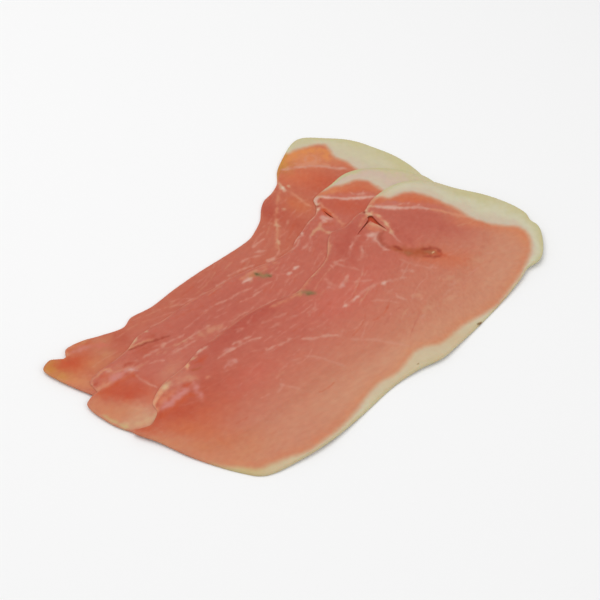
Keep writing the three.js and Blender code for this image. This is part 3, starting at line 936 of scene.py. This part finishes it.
backSlice = {
    "node": "slice_back",
    "slot": "back_slice_meat",
    "seed": 31,
    "ground": "leanWarm",
    "fat": "fat",
    "sheer": [],
    "fatLine": [
        (56.5, 65.5), (61, 61.5), (66, 62), (72, 61), (78.5, 60), (82.5, 57), (82.5, 52.5), (82.5, 46),
        (86, 40), (87, 35), (88.5, 29), (90.5, 11), (96, 4), (103, -2), (107.5, -11), (105, -20), (98, -27),
        (86, -35), (73.5, -40.5), (63, -44), (51, -45), (42, -45.5), (34, -48.5), (26, -48), (17.5, -46),
        (13, -49), (3.5, -52), (-8.5, -52), (-19, -55.5), (-31.5, -62), (-46.5, -66), (-59.5, -66),
        (-73.5, -64), (-83.5, -58.5), (-92, -49),
    ],
    "fatGlow": (0.35, 4),
    "marbling": [(50, (25, 20), (16, 16)), (70, (-45, -5), (40, 10))],
    "fatTints": [("fatOuter", 0.7, (70, 66.5), (8, 4))],
    "nicks": [],
    "bumps": [((45.3, 39.3), 2.2, 0.25)],
    "splits": [],
    "patches": {
        "headMuscle": ("muscle", 0.95, (67, 54), (26, 9), -30),
        "underTendon": ("flameWarm", 0.75, (58, 41), (19, 9), -38),
        "orangeLean": ("amberRed", 0.75, (45.5, 25), (10, 7), -50),
        "leanRed": ("brick", 0.6, (30.5, 27), (7, 12), 20),
        "rose": ("rose", 0.35, (4, 6), (30, 8), 10),
        "tailRose": ("rose", 0.35, (-61, -15), (20, 6), 0),
        "tailOrange": ("amberRed", 0.85, (-100.5, -19.5), (15, 9), -25),
        "tip": ("gold", 0.95, (-113.5, -13.5), (6.5, 6.5), -25),
        "tailDark": ("ember", 0.95, (-94.5, -7), (4.5, 2.2), -15),
        "headRed": ("flameLight", 0.7, (83, 38.5), (9, 4), -35),
        "headGold": ("gold", 0.9, (55, 55.5), (5, 8), -20),
        "redLean": ("redTail", 0.5, (66, 32), (12, 9), -38),
        "leanShade": ("wineDeep", 0.5, (33, 30.5), (8, 16), 15),
        "leanDark": ("wine", 0.6, (-25, -5), (30, 9), 15),
        "tailPale": ("amber", 0.8, (-105.5, -28.5), (18, 4.5), -38),
        "tailOlive": ("sand", 0.5, (-86, -18.5), (6, 5), -38),
        "tailEdge": ("sand", 0.6, (-92, -5), (10, 3), 18),
        "tailFlush": ("ember", 0.7, (-106, -15.5), (9, 4.5), -20),
        "tailGold": ("orange", 0.85, (-108.5, -25.5), (14, 4), -28),
        "tailGoldTip": ("gold", 0.55, (-110.5, -21.5), (7, 3.5), -28),
        "tongueSand": ("amberRed", 0.6, (-99.5, -7.5), (6, 3), 0),
        "tailTan": ("sand", 0.4, (-93.5, -22.5), (8, 5), -30),
        "tailRed": ("ember", 0.7, (-101.5, -15.5), (7, 5), -10),
        "tailTop": ("sand", 0.45, (-84, -10), (7, 4), 0),
        "tailDeep": ("brick", 0.5, (-76, -12.5), (6, 7), 0),
        "cordRed": ("brick", 0.4, (38.5, 11.5), (6, 8), 40),
    },
    "strokes": {
        "tendon": ("sinew", 0.85, 1.4, 0.03,
            [(51.5, 52), (56, 50.5), (61.5, 49), (67.5, 46.5), (73.5, 43), (78.5, 38.5), (83, 35.5)]),
        "mottle": ("paleOrange", 0.85, 1.3, 0.02,
            [(70.5, 55), (68, 54), (66.5, 51), (68.5, 48.5), (71.5, 49), (73, 52), (71.5, 54.5)],
            [(74.5, 50), (73, 46.5)]),
        "crumbs": ("crumb", 1, 2.1, 0.08, [(45, 41), (45, 37)]),
        "notchLine": ("paleOrange", 0.7, 1.3, 0.03,
            [(46, 37), (47.5, 33.5), (49, 29), (50, 24.5), (51.5, 20)]),
        "cords": ("sinew", 0.6, 1.1, 0.02, [(21.5, 0), (16.5, -3), (11.5, -3.5)]),
        "flecks": ("sinew", 0.7, 1.5, 0.03, [(12, -4.5), (16.5, -3.5)], [(10, 5), (15, 3.5)]),
        "streaks": ("sinew", 0.5, 0.9, 0.02,
            [(9.5, 8.5), (14, 10), (18.5, 11.5)], [(-0.5, 3), (6.5, 2.5), (13, 1.5)],
            [(-10.5, -2.5), (-3, -2), (5, -2.5)], [(-40.5, -8), (-31.5, -7.5), (-22, -7.5)],
            [(-60, -13.5), (-52, -13.5), (-44, -12)], [(-35, -15), (-26.5, -13.5), (-18.5, -13.5)],
            [(-19.5, -6), (-13, -5), (-5.5, -4.5)]),
        "purpleBand": ("lilac", 0.5, 2.5, 0.05, [(-101, -10), (-98, -10), (-94.5, -9.5), (-91.5, -10.5)]),
        "muscleBand": ("muscleBright", 0.8, 4.2, 0,
            [(55, 55.5), (59, 58.5), (64.5, 59), (70.5, 58.5), (76, 56.5), (79, 53.5), (78.5, 47.5)]),
        "tendonGlow": ("paleOrange", 0.7, 1.8, 0.02,
            [(60, 53), (63, 50), (68.5, 48), (72.5, 46), (76.5, 42)]),
        "crumbRim": ("creamLight", 0.85, 1.4, 0.04, [(45.5, 44), (45, 41)], [(48.5, 40), (48.5, 38.5)]),
        "leftLine": ("creamWarm", 0.5, 1.5, 0.03,
            [(44, 39.5), (40, 35), (36, 29), (32, 22.5), (29.5, 17.5), (26, 10.5), (23.5, 6.5), (21.5, 0)]),
        "leftKnots": ("creamLight", 0.85, 1.8, 0.04,
            [(29.5, 18), (28, 14.5)], [(37.5, 25.5), (38.5, 25)], [(24, 7), (23.5, 4.5)]),
        "tonguePink": ("coral", 0.6, 2.4, 0, [(-90, -11), (-86.5, -12), (-84, -13.5)]),
        "tongueRim": ("creamWarm", 0.5, 1.2, 0.02, [(-103, -8), (-103, -10), (-101, -11.5)]),
        "goldRim": ("gold", 0.8, 1.4, 0, [(60, 61.5), (55.5, 58), (51, 54), (47.5, 50), (45, 46)]),
    },
    "specks": [],
}


# A colour value out of 255, as the materials want it.
def linear(value):
    value = value / 255
    return value / 12.92 if value <= 0.04045 else ((value + 0.055) / 1.055) ** 2.4


# A node of a material, with its fixed values and what feeds it.
def node(tree, kind, settings=(), **inputs):
    made = tree.nodes.new(kind)
    for name, value in dict(settings).items():
        setattr(made, name, value)
    for name, value in inputs.items():
        socket = made.inputs[int(name[1:])] if name[0] == "i" and name[1:].isdigit() else made.inputs[name]
        if isinstance(value, bpy.types.NodeSocket):
            tree.links.new(value, socket)
        else:
            socket.default_value = value
    return made


hamFinish = {
    "fibreSize": 1.1,       # per millimetre, across the fibres
    "fibreStretch": 0.4,    # how much less along them
    "fibreStrength": 0.02,
    "marblingSize": 0.5,
    "marblingShows": (0.55, 0.75),  # the part of its noise that shows as pale flecks
    "marblingStrength": 0.12,
    "marblingNoise": {"Detail": 5.0, "Roughness": 0.65, "Distortion": 1.0},
    "mottleSize": 300,      # per metre
    "mottleStrength": 0.03,
    "noiseDetail": 4.0,
    "noiseRange": (0.25, 0.75),
    "roughness": (0.42, 0.58),
    "roughnessRange": (0.3, 0.7),
    "specular": 0.2,
    "subsurface": 0.2,
    "subsurfaceRadius": (1.0, 0.45, 0.3),
    "subsurfaceReach": 0.0012,
    "bump": 0.14,
    "bumpDepth": 0.0002,
}


def hamMaterial(name):
    material = bpy.data.materials.new(name)
    material.use_nodes = True
    tree = material.node_tree
    shader = tree.nodes["Principled BSDF"]

    def carried(attribute, output):
        return node(tree, "ShaderNodeAttribute", {"attribute_name": attribute}).outputs[output]

    def noisy(place, size, **settings):
        return node(tree, "ShaderNodeTexNoise", Vector=place, Scale=size, **settings).outputs["Fac"]

    def worked(operation, first, second):
        return node(tree, "ShaderNodeMath", {"operation": operation}, i0=first, i1=second).outputs[0]

    def spread(value, source, low, high, **settings):
        ends = {"i1": source[0], "i2": source[1], "i3": low, "i4": high}
        return node(tree, "ShaderNodeMapRange", settings, i0=value, **ends).outputs[0]

    place = node(tree, "ShaderNodeTexCoord").outputs["Object"]
    run = carried("fibre", "Vector")
    along = node(tree, "ShaderNodeMapping", Vector=run, Scale=(hamFinish["fibreStretch"], 1, 1)).outputs[0]
    fibre = noisy(along, hamFinish["fibreSize"], Detail=hamFinish["noiseDetail"])
    marbling = noisy(along, hamFinish["marblingSize"], **hamFinish["marblingNoise"])
    mottle = noisy(place, hamFinish["mottleSize"], Detail=hamFinish["noiseDetail"])
    lean = worked("SUBTRACT", 1.0, carried("fat", "Fac"))

    flecks = spread(marbling, hamFinish["marblingShows"], 0.0, hamFinish["marblingStrength"],
                    interpolation_type="SMOOTHSTEP")
    pale = node(tree, "ShaderNodeMix", {"data_type": "RGBA"}, i0=worked("MULTIPLY", flecks, lean),
                i6=carried("tone", "Color"), i7=(*[linear(part) for part in meat["sinew"]], 1)).outputs[2]
    strength = hamFinish["fibreStrength"]
    streaky = worked("MULTIPLY", spread(fibre, hamFinish["noiseRange"], -strength, strength), lean)
    strength = hamFinish["mottleStrength"]
    patchy = spread(mottle, hamFinish["noiseRange"], 1 - strength, 1 + strength)
    bright = worked("ADD", patchy, streaky)
    shaded = node(tree, "ShaderNodeVectorMath", {"operation": "SCALE"}, i0=pale, i3=bright).outputs[0]
    tree.links.new(shaded, shader.inputs["Base Color"])
    gloss = spread(mottle, hamFinish["roughnessRange"], *hamFinish["roughness"])
    tree.links.new(gloss, shader.inputs["Roughness"])
    height = worked("ADD", worked("MULTIPLY", fibre, lean), mottle)
    bump = node(tree, "ShaderNodeBump", Strength=hamFinish["bump"], Distance=hamFinish["bumpDepth"],
                Height=height)
    tree.links.new(bump.outputs[0], shader.inputs["Normal"])
    shader.inputs["Subsurface Weight"].default_value = hamFinish["subsurface"]
    shader.inputs["Subsurface Radius"].default_value = hamFinish["subsurfaceRadius"]
    shader.inputs["Subsurface Scale"].default_value = hamFinish["subsurfaceReach"]
    shader.inputs["Specular IOR Level"].default_value = hamFinish["specular"]
    return material


# One slice: its sheet, its thickness and relief, its colours, and its place over the slices below.
def makeSlice(name, look, lower):
    middle = middleOf(look["node"])
    solid = solidOf(look["node"])
    edge = trimEdge(cutEdgeOf(solid), look["nicks"])
    sheet = cutSheet(edge, look["splits"])
    drapeSheet(sheet, edge, middle, lower)
    thicken(sheet)
    mesh = bpy.data.meshes.new(name)
    piece = bpy.data.objects.new(name, mesh)
    bpy.context.scene.collection.objects.link(piece)

    points = np.array([vertex.co.xy for vertex in sheet.verts])
    lowerEdges = [path + other - middle for path, other, _ in lower]
    coat, fatShare, rim, relief = paintSlice(look, points, edge, lowerEdges)
    swell = unevenness(points, look, "swell")[1] * cut["surfaceSwell"]
    curve = np.clip(1 - rim / cut["rimRound"], 0, 1)
    shoulder = cut["rimRound"] * (1 - np.sqrt(1 - curve**2))
    for other in lowerEdges:
        overlaid = smoothStep(0, cut["taperStart"], depthWithin(points, other))
        thinned = cut["taperDepth"] * smoothStep(cut["taperReach"], 0, rim) * overlaid
        shoulder = np.maximum(shoulder, thinned)
    sheet.normal_update()
    for index, vertex in enumerate(sheet.verts):
        if vertex.normal.z > cut["sideTilt"]:
            vertex.co.z += relief[index] + swell[index] - shoulder[index]
        elif vertex.normal.z > -cut["sideTilt"]:
            vertex.co.z -= shoulder[index] / 2
    for face in sheet.faces:
        face.smooth = True
    bmesh.ops.translate(sheet, vec=(*middle, 0), verts=sheet.verts)
    surface = BVHTree.FromBMesh(sheet)
    bmesh.ops.scale(sheet, vec=(1 / perMetre,) * 3, verts=sheet.verts)
    sheet.to_mesh(mesh)
    tone = mesh.attributes.new("tone", "FLOAT_COLOR", "POINT")
    paint = np.ones((len(points), 4))
    paint[:, :3] = np.vectorize(linear)(coat)
    tone.data.foreach_set("color", paint.ravel())
    mesh.attributes.new("fat", "FLOAT", "POINT").data.foreach_set("value", fatShare)
    run = np.column_stack((*fibrePlace(points), np.full(len(points), look["seed"])))
    mesh.attributes.new("fibre", "FLOAT_VECTOR", "POINT").data.foreach_set("vector", run.ravel())
    mesh.materials.append(hamMaterial(name + "Meat"))
    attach(piece, "root")
    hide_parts(look["node"])
    triangles = sum(len(face.verts) - 2 for face in sheet.faces)
    print(name, "made with", triangles, "triangles")
    return edge, middle, surface


lower = []
for name, look in (("backSlice", backSlice), ("middleSlice", middleSlice), ("frontSlice", frontSlice)):
    lower.append(makeSlice(name, look, list(lower)))

studio = {
    "floorSize": 3.0,
    "floorColour": (0.93, 0.93, 0.93, 1),
    "floorRoughness": 0.9,
    "world": 0.56,
    "lamps": {  # place in metres from the middle, size, watts
        "overhead": ((-0.25, 0.35, 1.1), 1.2, 6.6),
        "nearSide": ((0.5, -0.9, 0.9), 1.0, 2.9),
    },
}
camera = {
    "azimuth": -29.47,
    "elevation": 50,
    "distance": 0.68,
    "lens": 80,             # millimetres, as is the sensor's width
    "sensor": 36,
    "aim": (-0.0019, -0.0091, 0),   # from the middle of the CAD box
}


def buildStudio():
    floorMesh = bpy.data.meshes.new("floor")
    floor = bpy.data.objects.new("floor", floorMesh)
    bpy.context.scene.collection.objects.link(floor)
    sheet = bmesh.new()
    bmesh.ops.create_grid(sheet, x_segments=1, y_segments=1, size=studio["floorSize"] / 2)
    sheet.to_mesh(floorMesh)
    paint = bpy.data.materials.new("paleFloor")
    paint.use_nodes = True
    shader = paint.node_tree.nodes["Principled BSDF"]
    shader.inputs["Base Color"].default_value = studio["floorColour"]
    shader.inputs["Roughness"].default_value = studio["floorRoughness"]
    floorMesh.materials.append(paint)
    world = bpy.data.worlds.new("softRoom")
    world.use_nodes = True
    sky = world.node_tree.nodes["Background"]
    sky.inputs["Color"].default_value = (1, 1, 1, 1)
    sky.inputs["Strength"].default_value = studio["world"]
    bpy.context.scene.world = world
    for name, (place, size, watts) in studio["lamps"].items():
        light = bpy.data.lights.new(name, "AREA")
        light.shape = "DISK"
        light.size = size
        light.energy = watts
        lamp = bpy.data.objects.new(name, light)
        lamp.location = place
        lamp.rotation_euler = Vector(place).to_track_quat("Z", "Y").to_euler()
        bpy.context.scene.collection.objects.link(lamp)
    bpy.context.scene.view_settings.view_transform = "Standard"


def placeCamera():
    turn = math.radians(camera["azimuth"])
    rise = math.radians(camera["elevation"])
    middle = [(low + high) / 2 for low, high in zip(*cadBounds)]
    aim = Vector((middle[0], middle[1], 0)) + Vector(camera["aim"])
    away = Vector((math.sin(turn) * math.cos(rise), -math.cos(turn) * math.cos(rise), math.sin(rise)))
    eye = bpy.data.objects.new("camera", bpy.data.cameras.new("camera"))
    eye.data.lens = camera["lens"]
    eye.data.sensor_width = camera["sensor"]
    eye.location = aim + camera["distance"] * away
    eye.rotation_euler = away.to_track_quat("Z", "Y").to_euler()
    bpy.context.scene.collection.objects.link(eye)
    bpy.context.scene.camera = eye


buildStudio()
placeCamera()
print("studio and camera set")
